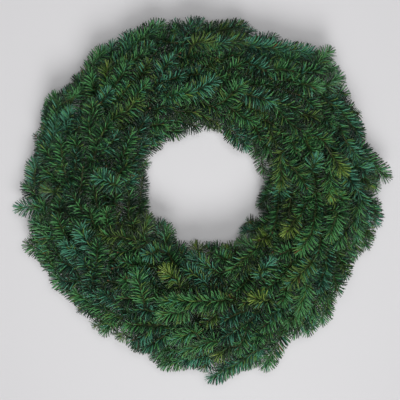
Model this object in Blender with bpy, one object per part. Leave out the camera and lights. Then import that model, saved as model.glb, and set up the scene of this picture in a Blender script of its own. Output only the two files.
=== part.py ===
"""Fresh evergreen wreath: a welded ring frame of two wire rails with nine wire clamps, each clamp folded
over a bunch of six fir sprays whose tips all sweep clockwise. It lies flat on its rails, with +Z up.
Units are metres. Run it with: blender --background --python part.py
"""

import math
import random
from collections import namedtuple

import bmesh
import bpy
import numpy as np
from mathutils import Matrix, Vector

# ---- Driving dimensions ------------------------------------------------------------------------
SEED = 7
RING_CENTRE = Vector((0.0024, 0.0108, 0))  # the foliage is a little fuller below the ring than above
RING_RADIUS = 0.169  # halfway between the rails of a 14 inch wreath ring
RAIL_OFFSET = 0.013  # each rail from that middle circle
RAIL_WIRE = 0.0019  # wire radius
RAIL_SEGMENTS = 36
RAIL_SIDES = 6  # six sides put a flat at the bottom of each wire, which the wreath rests on
CLAMP_WIRE = 0.0015
CLAMP_HALF_WIDTH = 0.017
CLAMP_HEIGHT = 0.0195
CLAMP_CORNER = 0.005
CLAMP_OVERLAP = 0.006  # how far past the middle each folded prong reaches
CLAMP_PITCH = 0.0042  # the folded prongs lie side by side this far apart
WELD_SINK = 0.0005
BUNCHES = 9
FIRST_CLAMP = math.radians(14)  # clockwise from the top of the ring

STEM_BACK = 0.014  # the stems' cut ends, behind the clamp
STEM_STRAIGHT = 0.008  # the stems run straight this far past the clamp before they fan out
CORE_BASE = 0.0023  # a shoot's three-sided core, from its middle to a corner
CORE_TIP = 0.0014
PATH_STEP = 0.03
INNER_FULLNESS = 0.022  # how much further in the inner sprays reach at the bottom than at the top
WHORL_PITCH = 0.034
WHORL_HEIGHT = 0.0036
BUD_LENGTH = 0.004
NEEDLE = 0.0195
NEEDLE_LEAN = math.radians(56)  # between a needle and its shoot
TIP_LEAN = math.radians(36)
NEEDLE_WANDER = 0.16  # how far a needle's direction strays sideways, as a share of its length
LEAN_WANDER = 0.12
NEEDLE_LENGTHS = (0.9, 1.08)  # shortest and longest, as shares of NEEDLE
NEEDLE_ROOT = 0.0022
NEEDLE_POINT = 0.0003
# The first of these that is clear is used: (angle bent forward, share of the length kept).
NEEDLE_TRIES = ((0, 1), (0.22, 1), (0, 0.8), (0.3, 0.85), (0.1, 0.6), (0.4, 0.6))
CLEARANCE = 0.0006
SHOOT_GAP = 0.0085  # between the cores of different sprays
FLOOR_GAP = 0.002
MERGE = 1e-6

FOLIAGE_COLOUR = (0.035, 0.105, 0.045, 1)
FRAME_COLOUR = (0.03, 0.06, 0.035, 1)

# Each spray of a bunch: its name, its stem in the clamp and its tip, both as (outward from the middle
# circle, height), how far round that circle the tip lies, the needled length of its main shoot, and its
# side shoots as (share of the needled length, side, length). Side 1 leans out of the wreath, -1 into it.
Station = namedtuple("Station", "name stem tip reach needled sides")
STATIONS = (
    Station(
        name="inner_low",
        stem=(-0.010, 0.0102),
        tip=(-0.066, 0.026),
        reach=0.146,
        needled=0.088,
        sides=((0.06, 1, 0.048), (0.20, -1, 0.044), (0.46, 1, 0.036)),
    ),
    Station(
        name="inner_crown",
        stem=(-0.0105, 0.0175),
        tip=(-0.047, 0.064),
        reach=0.112,
        needled=0.080,
        sides=((0.05, -1, 0.054), (0.16, 1, 0.052), (0.42, -1, 0.042)),
    ),
    Station(
        name="crown",
        stem=(-0.0035, 0.0175),
        tip=(-0.004, 0.085),
        reach=0.158,
        needled=0.104,
        sides=((0.04, 1, 0.062), (0.16, -1, 0.062), (0.42, 1, 0.052), (0.54, -1, 0.046)),
    ),
    Station(
        name="outer_crown",
        stem=(0.0035, 0.0175),
        tip=(0.046, 0.078),
        reach=0.112,
        needled=0.092,
        sides=((0.05, -1, 0.062), (0.17, 1, 0.064), (0.42, -1, 0.050)),
    ),
    Station(
        name="outer_rim",
        stem=(0.0105, 0.0175),
        tip=(0.077, 0.052),
        reach=0.154,
        needled=0.106,
        sides=((0.02, 1, 0.066), (0.16, -1, 0.064), (0.42, 1, 0.054), (0.54, -1, 0.048)),
    ),
    Station(
        name="outer_low",
        stem=(0.010, 0.0102),
        tip=(0.081, 0.022),
        reach=0.098,
        needled=0.096,
        sides=((0.06, 1, 0.064), (0.20, -1, 0.058), (0.46, 1, 0.050)),
    ),
)
# How the main shoots vary from spray to spray.
REACH_SPREAD = 0.13
OUTWARD_SPREAD = 0.007
HEIGHT_RANGE = (0.9, 1.08)
BEND_RANGE = (0.72, 0.9)  # below 1 a shoot leaves the bunch at once, then turns along the ring
INSIDE = -0.02  # a tip further in than this is one of the hole's edge
MAIN_DRAWS = 8  # the main shoot furthest from the others is kept out of this many
SIDE_FLATNESS = 1.8  # forks spread along the wreath's surface at 0, and level with the table at a high value
SIDE_ANGLES = (36, 28, 46, 20)  # degrees from the main shoot, the first that is clear is used
SIDE_TILTS = (0, 16, -14, 30)  # degrees out of the wreath's surface
SIDE_LENGTHS = (1.0, 0.75, 0.55)
SIDE_STEPS = 3
SIDE_FORWARD = 0.22  # the share of its angle that a side shoot loses at each step
SIDE_FLOOR = 0.016  # the least height of a side shoot's middle line
SIDE_BARE = 0.006  # the bare foot of a side shoot, inside its main shoot
SHARE_SPREAD = 0.04
SIDE_SPREAD = 0.1
# Sprays that stand out of the wreath's outline or stay inside it: (bunch, station) and how far.
STAND_OUTS = {
    (0, "outer_low"): 0.020,
    (1, "outer_low"): 0.010,
    (1, "outer_rim"): -0.005,
    (2, "outer_low"): -0.010,
    (3, "outer_low"): 0.020,
    (4, "outer_rim"): -0.008,
    (5, "outer_rim"): 0.015,
    (6, "outer_low"): 0.012,
    (8, "outer_low"): -0.003,
    (8, "outer_rim"): -0.009,
}


# ---- Places round the ring -----------------------------------------------------------------------
def clock_of(bunch, along):
    """The angle from the top of the ring, clockwise, this far round the middle circle from a clamp."""
    return FIRST_CLAMP + bunch * math.tau / BUNCHES + along / RING_RADIUS


def on_ring(bunch, along, outward, height):
    """The point this far round from a bunch's clamp, and this far out of the middle circle."""
    clock = clock_of(bunch, along)
    reach = RING_RADIUS + outward
    return RING_CENTRE + Vector((reach * math.sin(clock), reach * math.cos(clock), height))


def surface_normal(point):
    """Out of the wreath's rounded upper surface at a point."""
    flat = Vector((point.x, point.y, 0)) - RING_CENTRE
    middle = RING_CENTRE + flat.normalized() * RING_RADIUS + Vector((0, 0, CLAMP_HEIGHT / 2))
    return (point - middle).normalized()


# ---- What already stands in the wreath, as tapered rods ------------------------------------------
class Thicket:
    """Rods that later pieces stay clear of: end points, end radii and the node that each belongs to."""

    def __init__(self):
        self.rows = np.empty((0, 9))

    def add(self, node, start, end, start_radius, end_radius):
        row = [*start, *end, start_radius, end_radius, node]
        self.rows = np.vstack([self.rows, row])

    def gap(self, node, start, end, start_radius, end_radius):
        """The least gap between a rod and those of other nodes."""
        others = self.rows[self.rows[:, 8] != node]
        if not len(others):
            return 1.0
        p, q = np.array(start), others[:, 0:3]
        u, v = np.array(end) - p, others[:, 3:6] - q
        w = p - q
        uu, uv, vv = u @ u, v @ u, np.einsum("ij,ij->i", v, v)
        uw, vw = w @ u, np.einsum("ij,ij->i", v, w)
        s = np.clip((uv * vw - vv * uw) / np.maximum(uu * vv - uv * uv, 1e-15), 0, 1)
        t = np.clip((uv * s + vw) / np.maximum(vv, 1e-15), 0, 1)
        s = np.clip((uv * t - uw) / max(uu, 1e-15), 0, 1)
        apart = np.linalg.norm(w + s[:, None] * u - t[:, None] * v, axis=1)
        mine = start_radius + (end_radius - start_radius) * s
        theirs = others[:, 6] + (others[:, 7] - others[:, 6]) * t
        return float((apart - mine - theirs).min())


def path_gap(thicket, node, points, radius):
    return min(thicket.gap(node, a, b, radius, radius) for a, b in zip(points, points[1:]))


def add_path(thicket, node, points, radius):
    for a, b in zip(points, points[1:]):
        thicket.add(node, a, b, radius, radius)


# ---- Shoots ----------------------------------------------------------------------------------------
def main_path(bunch, station, rng):
    """A spray's main shoot: straight through the clamp, then fanning out to its own place."""
    stem = station.stem
    reach = station.reach * rng.uniform(1 - REACH_SPREAD, 1 + REACH_SPREAD)
    outward = station.tip[0] + rng.uniform(-OUTWARD_SPREAD, OUTWARD_SPREAD)
    outward += STAND_OUTS.get((bunch, station.name), 0)
    if outward < INSIDE:
        outward -= INNER_FULLNESS * (1 - math.cos(clock_of(bunch, reach))) / 2
    height = station.tip[1] * rng.uniform(*HEIGHT_RANGE)
    bend = rng.uniform(*BEND_RANGE)
    points = [on_ring(bunch, -STEM_BACK, *stem), on_ring(bunch, STEM_STRAIGHT, *stem)]
    steps = round((reach - STEM_STRAIGHT) / PATH_STEP)
    for i in range(1, steps + 1):
        share = i / steps
        along = STEM_STRAIGHT + (reach - STEM_STRAIGHT) * share
        spread = stem[0] + (outward - stem[0]) * share**bend
        points.append(on_ring(bunch, along, spread, stem[1] + (height - stem[1]) * share))
    return points


def plan_main(thicket, node, bunch, station, rng):
    """Draws a few main shoots and keeps the one that stands furthest from the other sprays."""
    draws = [main_path(bunch, station, rng) for _ in range(MAIN_DRAWS)]
    best = max(draws, key=lambda points: path_gap(thicket, node, points[3:], 0))
    add_path(thicket, node, best, 0)
    return best


def point_at(points, distance):
    """The place and direction at a distance along a path."""
    for a, b in zip(points, points[1:]):
        span = (b - a).length
        if distance <= span or b is points[-1]:
            return a + (b - a) * min(distance / span, 1.0), (b - a).normalized()
        distance -= span
    return points[-1], (points[-1] - points[-2]).normalized()


def length_of(points):
    return sum((b - a).length for a, b in zip(points, points[1:]))


def side_path(root, along, side, angle, tilt, length):
    """A side shoot that leaves its main shoot sideways, then bends forward with it."""
    normal = surface_normal(root) + Vector((0, 0, SIDE_FLATNESS))
    normal = (normal - along * normal.dot(along)).normalized()
    across = along.cross(normal) * side
    points = [root]
    for i in range(SIDE_STEPS):
        turn = math.radians(angle * (1 - SIDE_FORWARD * i))
        lift = math.radians(tilt)
        heading = along * math.cos(turn) + across * math.sin(turn) * math.cos(lift)
        heading += normal * math.sin(turn) * math.sin(lift)
        points.append(points[-1] + heading.normalized() * length / SIDE_STEPS)
    return points


def plan_sides(thicket, node, path, station, rng):
    """Side shoots that stay clear of every other spray, bent or shortened where they have to be."""
    needled = station.needled
    main = [point_at(path, distance)[0] for distance, _ in core_stations(path, needled)] + [path[-1]]
    total = length_of(main)
    sides = []
    for share, side, length in station.sides:
        share += rng.uniform(-SHARE_SPREAD, SHARE_SPREAD)
        length *= rng.uniform(1 - SIDE_SPREAD, 1 + SIDE_SPREAD)
        root, along = point_at(main, total - needled * (1 - share))
        tries = (
            side_path(root, along, side, angle, tilt, length * cut)
            for cut in SIDE_LENGTHS
            for tilt in SIDE_TILTS
            for angle in SIDE_ANGLES
        )
        for points in tries:
            high_enough = min(p.z for p in points) > SIDE_FLOOR
            if high_enough and path_gap(thicket, node, points, 0) > SHOOT_GAP:
                add_path(thicket, node, points, 0)
                sides.append(points)
                break
    return sides


def shoot_frame(points, distance, radius):
    """A matrix whose XY plane lies across a path at a distance along it, in units of the core's radius."""
    centre, along = point_at(points, distance)
    across = along.cross(surface_normal(centre)).normalized()
    axes = Matrix((across * radius, across.cross(along) * -radius, along)).transposed()
    return Matrix.Translation(centre) @ axes.to_4x4()


def core_stations(points, needled):
    """Where a core's rings lie: (distance, whether a whorl of needles starts there)."""
    total = length_of(points)
    bare = total - needled
    rings, gone = [(0.0, False)], 0.0
    for a, b in zip(points, points[1:]):
        gone += (b - a).length
        if gone < bare:
            rings.append((gone, False))
    whorls = max(1, round((needled - BUD_LENGTH) / WHORL_PITCH))
    pitch = (needled - BUD_LENGTH) / whorls
    for i in range(whorls):
        start = bare + pitch * (i + 1) - WHORL_HEIGHT
        rings += [(start, True), (start + WHORL_HEIGHT, False)]
    return rings


def build_core(bm, points, needled, rng):
    """Extrudes a three-sided core along a path and returns its whorls: (faces, place, direction, last)."""
    total = length_of(points)
    turn = Matrix.Rotation(rng.uniform(0, math.tau), 4, "Z")
    rings = core_stations(points, needled)
    first = here = shoot_frame(points, 0, CORE_BASE) @ turn
    bmesh.ops.create_circle(bm, cap_ends=True, radius=1, segments=3, matrix=here)
    face = bm.faces[:][0]
    whorls = []
    for (_, starts_whorl), (distance, _) in zip(rings, rings[1:]):
        radius = CORE_BASE + (CORE_TIP - CORE_BASE) * distance / total
        there = shoot_frame(points, distance, radius) @ turn
        made = bmesh.ops.extrude_face_region(bm, geom=[face])["geom"]
        if here is not first:
            bmesh.ops.delete(bm, geom=[face], context="FACES_ONLY")
        face = [part for part in made if isinstance(part, bmesh.types.BMFace)][0]
        bmesh.ops.transform(bm, matrix=there @ here.inverted(), verts=face.verts[:])
        here = there
        if starts_whorl:
            sides = [side for edge in face.edges for side in edge.link_faces if side is not face]
            place, along = point_at(points, distance - WHORL_HEIGHT / 2)
            whorls.append((sides, place, along, distance > total - BUD_LENGTH - WHORL_HEIGHT / 2))
    bud = bmesh.ops.poke(bm, faces=[face])["verts"][0]
    bud.co = points[-1]
    return whorls


def grow_needles(bm, thicket, node, whorls, rng):
    """Pulls the facets of each whorl out into needles that stay clear of the other sprays."""
    for faces, place, along, last in whorls:
        halves = bmesh.ops.triangulate(bm, faces=faces, quad_method="FIXED")["faces"]
        for half in halves:
            root = half.calc_center_median()
            outward = root - place
            outward = (outward - along * outward.dot(along)).normalized()
            jitter = Vector([rng.uniform(-NEEDLE_WANDER, NEEDLE_WANDER) for _ in range(3)])
            outward = (outward + jitter - along * jitter.dot(along)).normalized()
            lean = (TIP_LEAN if last else NEEDLE_LEAN) + rng.uniform(-LEAN_WANDER, LEAN_WANDER)
            size = NEEDLE * rng.uniform(*NEEDLE_LENGTHS)
            for ease, cut in NEEDLE_TRIES:
                heading = along * math.cos(lean - ease) + outward * math.sin(lean - ease)
                tip = root + heading * size * cut
                rod = (root, tip, NEEDLE_ROOT, NEEDLE_POINT)
                if tip.z > FLOOR_GAP and thicket.gap(node, *rod) > CLEARANCE:
                    thicket.add(node, *rod)
                    point = bmesh.ops.poke(bm, faces=[half])["verts"][0]
                    point.co = tip
                    break


def core_object(name, bm):
    bmesh.ops.recalc_face_normals(bm, faces=bm.faces)
    mesh = bpy.data.meshes.new(name)
    bm.to_mesh(mesh)
    bm.free()
    made = bpy.data.objects.new(name, mesh)
    bpy.context.scene.collection.objects.link(made)
    return made


# ---- Joining ---------------------------------------------------------------------------------------
def join(body, others):
    """Unites the others with body by one Boolean on a collection, applies it and removes them."""
    if not others:
        return
    collection = bpy.data.collections.new(body.name + "_parts")
    bpy.context.scene.collection.children.link(collection)
    for other in others:
        for holder in list(other.users_collection):
            holder.objects.unlink(other)
        collection.objects.link(other)
    union = body.modifiers.new("union", "BOOLEAN")
    union.operation = "UNION"
    union.operand_type = "COLLECTION"
    union.collection = collection
    union.solver = "EXACT"
    graph = bpy.context.evaluated_depsgraph_get()
    joined = bpy.data.meshes.new_from_object(body.evaluated_get(graph))
    body.modifiers.clear()
    body.data = joined
    for other in others:
        bpy.data.objects.remove(other)
    bpy.data.collections.remove(collection)


def give_material(obj, material):
    obj.data.materials.clear()
    obj.data.materials.append(material)


def new_material(name, colour, roughness, metallic=0.0):
    material = bpy.data.materials.new(name)
    material.use_nodes = True
    surface = material.node_tree.nodes["Principled BSDF"]
    surface.inputs["Base Color"].default_value = colour
    surface.inputs["Roughness"].default_value = roughness
    surface.inputs["Metallic"].default_value = metallic
    return material


# ---- The ring frame --------------------------------------------------------------------------------
RAIL_DROP = RAIL_WIRE * math.cos(math.pi / RAIL_SIDES)  # from a rail's middle to its flat
CLAMP_FLOOR = 2 * RAIL_DROP + CLAMP_WIRE - WELD_SINK
RODS_A_BUNCH = 6  # straight rods for the stretch of rail from one clamp to the next
FRAME = -1  # the frame's number in a thicket, where the sprays have 0 and up


def rail(name, radius):
    bpy.ops.mesh.primitive_torus_add(
        location=RING_CENTRE + Vector((0, 0, RAIL_DROP)),
        major_segments=RAIL_SEGMENTS,
        minor_segments=RAIL_SIDES,
        major_radius=radius,
        minor_radius=RAIL_WIRE,
    )
    made = bpy.context.object
    made.name = name
    return made


def clamp_outline():
    """The bent clamp wire, from one folded prong's end to the other's: (outward, height) pairs."""
    r = CLAMP_CORNER
    wide, high = CLAMP_HALF_WIDTH - r, CLAMP_HEIGHT - r
    outline = [(CLAMP_OVERLAP, CLAMP_HEIGHT)]
    for x, z, start in ((-wide, high, 90), (-wide, r, 180), (wide, r, 270), (wide, high, 0)):
        for angle in (math.radians(start), math.radians(start + 90)):
            outline.append((x + r * math.cos(angle), z + r * math.sin(angle)))
    return outline + [(-CLAMP_OVERLAP, CLAMP_HEIGHT)]


def clamp(bunch):
    outline = clamp_outline()
    curve = bpy.data.curves.new(f"clamp_{bunch}", "CURVE")
    curve.dimensions = "3D"
    curve.bevel_depth = CLAMP_WIRE
    curve.bevel_resolution = 0
    curve.use_fill_caps = True
    wire = curve.splines.new("POLY")
    wire.points.add(len(outline) - 1)
    for i, (outward, height) in enumerate(outline):
        shift = CLAMP_PITCH * (i / (len(outline) - 1) - 0.5)
        place = on_ring(bunch, shift, outward, CLAMP_FLOOR + height)
        wire.points[i].co = (*place, 1)
    bent = bpy.data.objects.new(f"clamp_{bunch}", curve)
    bpy.context.scene.collection.objects.link(bent)
    graph = bpy.context.evaluated_depsgraph_get()
    mesh = bpy.data.meshes.new_from_object(bent.evaluated_get(graph))
    bpy.data.objects.remove(bent)
    bm = bmesh.new()
    bm.from_mesh(mesh)
    bmesh.ops.remove_doubles(bm, verts=bm.verts, dist=MERGE)
    return core_object(f"clamp_{bunch}", bm)


def frame_rods(thicket):
    """The frame as rods, so that the sprays stay clear of it."""
    step = math.tau * RING_RADIUS / BUNCHES / RODS_A_BUNCH
    for bunch in range(BUNCHES):
        bent = [on_ring(bunch, 0, x, CLAMP_FLOOR + z) for x, z in clamp_outline()]
        add_path(thicket, FRAME, bent, CLAMP_WIRE + CLAMP_PITCH / 2)
        for side in (-1, 1):
            arc = [on_ring(bunch, step * i, side * RAIL_OFFSET, RAIL_DROP) for i in range(RODS_A_BUNCH + 1)]
            add_path(thicket, FRAME, arc, RAIL_WIRE)


def ring_frame(material):
    frame = rail("ring_frame", RING_RADIUS - RAIL_OFFSET)
    others = [rail("outer_rail", RING_RADIUS + RAIL_OFFSET)]
    others += [clamp(bunch) for bunch in range(BUNCHES)]
    join(frame, others)
    frame.data.transform(frame.matrix_world)
    frame.matrix_world.identity()
    give_material(frame, material)


# ---- The wreath ------------------------------------------------------------------------------------
def spray_random(bunch, index, use):
    return random.Random(SEED * 100003 + bunch * 1009 + index * 31 + use)


def main():
    for old in list(bpy.data.objects):
        bpy.data.objects.remove(old)
    foliage = new_material("fir_needles", FOLIAGE_COLOUR, 0.55)
    painted_wire = new_material("painted_wire", FRAME_COLOUR, 0.4, 0.6)
    ring_frame(painted_wire)

    places = [(bunch, index) for bunch in range(BUNCHES) for index in range(len(STATIONS))]
    cores = Thicket()
    frame_rods(cores)
    mains = {}
    for node, (bunch, index) in enumerate(places):
        mains[node] = plan_main(cores, node, bunch, STATIONS[index], spray_random(bunch, index, 1))
    sides = {
        node: plan_sides(cores, node, mains[node], STATIONS[index], spray_random(bunch, index, 2))
        for node, (bunch, index) in enumerate(places)
    }

    thicket = Thicket()
    frame_rods(thicket)
    for node in mains:
        for points in [mains[node], *sides[node]]:
            add_path(thicket, node, points, CORE_BASE)
    for node, (bunch, index) in enumerate(places):
        name = f"bunch{bunch + 1}_{STATIONS[index].name}_spray"
        rng = spray_random(bunch, index, 3)
        shoots = []
        plans = [(mains[node], STATIONS[index].needled)]
        plans += [(points, length_of(points) - SIDE_BARE) for points in sides[node]]
        for points, needled in plans:
            bm = bmesh.new()
            whorls = build_core(bm, points, needled, rng)
            grow_needles(bm, thicket, node, whorls, rng)
            shoots.append(core_object(name, bm))
        shoots[0].name = name
        join(shoots[0], shoots[1:])
        give_material(shoots[0], foliage)


main()
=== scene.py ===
"""Looks of the fresh evergreen wreath: nine bunches of fir sprays in a painted clamp ring, laid flat."""

import math
import random
from collections import namedtuple
from math import cos, radians, sin

import bmesh
import bpy
import numpy as np
from mathutils import Matrix, Vector


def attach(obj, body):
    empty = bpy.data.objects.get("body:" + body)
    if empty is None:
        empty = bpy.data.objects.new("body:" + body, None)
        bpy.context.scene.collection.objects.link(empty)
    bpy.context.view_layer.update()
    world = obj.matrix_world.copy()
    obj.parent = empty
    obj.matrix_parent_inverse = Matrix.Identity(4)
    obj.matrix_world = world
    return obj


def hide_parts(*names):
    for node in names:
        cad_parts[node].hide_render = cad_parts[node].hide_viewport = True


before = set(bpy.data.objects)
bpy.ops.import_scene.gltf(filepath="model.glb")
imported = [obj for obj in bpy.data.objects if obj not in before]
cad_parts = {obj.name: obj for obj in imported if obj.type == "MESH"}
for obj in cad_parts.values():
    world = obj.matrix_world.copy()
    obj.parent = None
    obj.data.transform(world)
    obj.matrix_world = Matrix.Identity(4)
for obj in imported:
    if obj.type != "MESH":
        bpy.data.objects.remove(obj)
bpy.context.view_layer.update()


# ---- Clamp ring --------------------------------------
# Two rails and nine clamps of drawn mild steel wire, spot welded and dipped in dark green paint. The
# prongs are folded over the bunches by hand, which cracks the paint, so bare and rusty steel shows in
# places. The solid from the frame is used as it is, because its wires already have their true shape.
def hex_colour(text):
    """A #rrggbb colour as linear RGBA."""
    channels = [int(text[i : i + 2], 16) / 255 for i in (1, 3, 5)]
    return (*[c / 12.92 if c <= 0.04045 else ((c + 0.055) / 1.055) ** 2.4 for c in channels], 1)


def feed(material, node, **links):
    """Gives a node's inputs a value or a socket each. An input goes by its name, or as _6 by its number."""
    for name, value in links.items():
        key = int(name[1:]) if name[1:].isdigit() else name.replace("_", " ")
        socket = node.inputs[key]
        if isinstance(value, bpy.types.NodeSocket):
            material.node_tree.links.new(value, socket)
        else:
            socket.default_value = value


def add_node(material, kind, settings=None, **links):
    """Adds a shader node. Settings are its attributes, and links feed its inputs."""
    node = material.node_tree.nodes.new("ShaderNode" + kind)
    for name, value in (settings or {}).items():
        setattr(node, name, value)
    feed(material, node, **links)
    return node


def new_material(name):
    """An empty material with a Principled surface."""
    material = bpy.data.materials.new(name)
    material.use_nodes = True
    return material, material.node_tree.nodes["Principled BSDF"]


def set_ramp(node, *stops):
    """Gives a colour ramp its stops, as (place, colour) pairs. A single number is a grey."""
    elements = node.color_ramp.elements
    while len(elements) < len(stops):
        elements.new(1.0)
    for element, (stop, colour) in zip(elements, stops):
        element.position = stop
        element.color = colour if isinstance(colour, tuple) else (colour, colour, colour, 1)
    return node


PAINT_CHIP = 0.0025  # size of the chips in the paint
PAINT_FILM = 0.0003  # how far the paint stands proud, thicker than the real film so that it shows
PAINT_ROUGHNESS = 0.34
RUST_ROUGHNESS = 0.62

# Alkyd paint over steel, dipped: a satin film with a slight waviness, which gives soft highlights.
painted_wire, surface = new_material("painted_steel_wire")
spot = add_node(painted_wire, "TexCoord").outputs["Object"]
chips = add_node(painted_wire, "TexNoise", Vector=spot, Scale=1 / PAINT_CHIP, Detail=3.0, Roughness=0.6)
bare_steel = set_ramp(
    add_node(painted_wire, "ValToRGB", Fac=chips.outputs["Fac"]), (0.60, 0.0), (0.66, 1.0)
)
rust = add_node(
    painted_wire, "Mix", {"data_type": "RGBA"},
    _0=bare_steel.outputs["Color"], _6=hex_colour("#22382a"), _7=hex_colour("#4a352a"),
)
rough = add_node(
    painted_wire, "MapRange", _0=bare_steel.outputs["Color"], _3=PAINT_ROUGHNESS, _4=RUST_ROUGHNESS
)
ripple = add_node(painted_wire, "Bump", Height=chips.outputs["Fac"], Strength=0.3, Distance=PAINT_FILM)
feed(painted_wire, surface, Base_Color=rust.outputs[2], Roughness=rough.outputs[0], IOR=1.5)
feed(painted_wire, surface, Normal=ripple.outputs["Normal"])
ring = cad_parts["ring_frame"]
ring.data.materials.clear()
ring.data.materials.append(painted_wire)


# ---- How the bunches lie -----------------------------
# Each clamp holds one bunch of six forked sprays, laid clockwise over the stems of the bunch before. The
# axis of every shoot is worked out here exactly as for the frame's solids, so each detailed spray stands
# where its solid does. Lengths are metres in the whole script.
SEED = 7
RING_CENTRE = Vector((0.0024, 0.0108, 0))  # the foliage is a little fuller below the ring than above
RING_RADIUS = 0.169  # halfway between the rails of a 14 inch wreath ring
RAIL_OFFSET = 0.013  # each rail from that middle circle
RAIL_WIRE = 0.0019  # wire radius
RAIL_SIDES = 6
RAIL_DROP = RAIL_WIRE * cos(math.pi / RAIL_SIDES)  # from a rail's middle to its flat
RODS_A_BUNCH = 6  # straight rods for each bunch's stretch of rail
CLAMP_WIRE = 0.0015
CLAMP_HALF_WIDTH = 0.017
CLAMP_HEIGHT = 0.0195
CLAMP_CORNER = 0.005
CLAMP_OVERLAP = 0.006  # how far past the middle each folded prong reaches
CLAMP_PITCH = 0.0042  # the folded prongs lie side by side this far apart
WELD_SINK = 0.0005
CLAMP_FLOOR = 2 * RAIL_DROP + CLAMP_WIRE - WELD_SINK
BUNCHES = 9
FIRST_CLAMP = radians(14)  # clockwise from the top of the ring
STEM_BACK = 0.014  # the stems' cut ends, behind the clamp
STEM_STRAIGHT = 0.008  # the stems run straight this far past the clamp before they fan out
PATH_STEP = 0.03
INNER_FULLNESS = 0.022  # how much further in the inner sprays reach at the bottom than at the top
WHORL_PITCH = 0.034
WHORL_HEIGHT = 0.0036
BUD_LENGTH = 0.004
SHOOT_GAP = 0.0085  # between the shoots of different sprays
REACH_SPREAD = 0.13
OUTWARD_SPREAD = 0.007
HEIGHT_RANGE = (0.9, 1.08)
BEND_RANGE = (0.72, 0.9)  # below 1 a shoot leaves the bunch at once, then turns along the ring
INSIDE = -0.02  # a tip further in than this is one of the hole's edge
MAIN_DRAWS = 8  # the main shoot furthest from the others is kept out of this many
SIDE_FLATNESS = 1.8  # 0 spreads the forks along the wreath's surface, a high value level with the floor
SIDE_ANGLES = (36, 28, 46, 20)  # degrees from the main shoot, the first that is clear is used
SIDE_TILTS = (0, 16, -14, 30)  # degrees out of the wreath's surface
SIDE_LENGTHS = (1.0, 0.75, 0.55)
SIDE_STEPS = 3
SIDE_FORWARD = 0.22  # the share of its angle that a side shoot loses at each step
SIDE_FLOOR = 0.016  # the least height of a side shoot's middle line
SHARE_SPREAD = 0.04
SIDE_SPREAD = 0.1
FRAME = -1  # the frame's number in a thicket, where the shoots have 0 and up
# A spray in its bunch: its stem in the clamp and its tip, as (outward from the middle circle, height), how
# far round it reaches, its needled length, and its side shoots, as (place along that length, side, length).
Station = namedtuple("Station", "name stem tip reach needled sides")
STATIONS = (
    Station(
        name="inner_low", stem=(-0.010, 0.0102), tip=(-0.066, 0.026), reach=0.146, needled=0.088,
        sides=((0.06, 1, 0.048), (0.20, -1, 0.044), (0.46, 1, 0.036)),
    ),
    Station(
        name="inner_crown", stem=(-0.0105, 0.0175), tip=(-0.047, 0.064), reach=0.112, needled=0.080,
        sides=((0.05, -1, 0.054), (0.16, 1, 0.052), (0.42, -1, 0.042)),
    ),
    Station(
        name="crown", stem=(-0.0035, 0.0175), tip=(-0.004, 0.085), reach=0.158, needled=0.104,
        sides=((0.04, 1, 0.062), (0.16, -1, 0.062), (0.42, 1, 0.052), (0.54, -1, 0.046)),
    ),
    Station(
        name="outer_crown", stem=(0.0035, 0.0175), tip=(0.046, 0.078), reach=0.112, needled=0.092,
        sides=((0.05, -1, 0.062), (0.17, 1, 0.064), (0.42, -1, 0.050)),
    ),
    Station(
        name="outer_rim", stem=(0.0105, 0.0175), tip=(0.077, 0.052), reach=0.154, needled=0.106,
        sides=((0.02, 1, 0.066), (0.16, -1, 0.064), (0.42, 1, 0.054), (0.54, -1, 0.048)),
    ),
    Station(
        name="outer_low", stem=(0.010, 0.0102), tip=(0.081, 0.022), reach=0.098, needled=0.096,
        sides=((0.06, 1, 0.064), (0.20, -1, 0.058), (0.46, 1, 0.050)),
    ),
)
# Sprays that stand out of the wreath's outline or stay inside it: (bunch, station) and how far.
STAND_OUTS = {
    (0, "outer_low"): 0.020, (1, "outer_low"): 0.010, (1, "outer_rim"): -0.005,
    (2, "outer_low"): -0.010, (3, "outer_low"): 0.020, (4, "outer_rim"): -0.008,
    (5, "outer_rim"): 0.015, (6, "outer_low"): 0.012, (8, "outer_low"): -0.003,
    (8, "outer_rim"): -0.009,
}


def clock_of(bunch, along):
    """The angle from the top of the ring, clockwise, this far round the middle circle from a clamp."""
    return FIRST_CLAMP + bunch * math.tau / BUNCHES + along / RING_RADIUS


def on_ring(bunch, along, outward, height):
    """The point this far round from a bunch's clamp, and this far out of the middle circle."""
    clock = clock_of(bunch, along)
    reach = RING_RADIUS + outward
    return RING_CENTRE + Vector((reach * sin(clock), reach * cos(clock), height))


def surface_normal(point):
    """Out of the wreath's rounded upper surface at a point."""
    flat = Vector((point.x, point.y, 0)) - RING_CENTRE
    middle = RING_CENTRE + flat.normalized() * RING_RADIUS + Vector((0, 0, CLAMP_HEIGHT / 2))
    return (point - middle).normalized()


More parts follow.
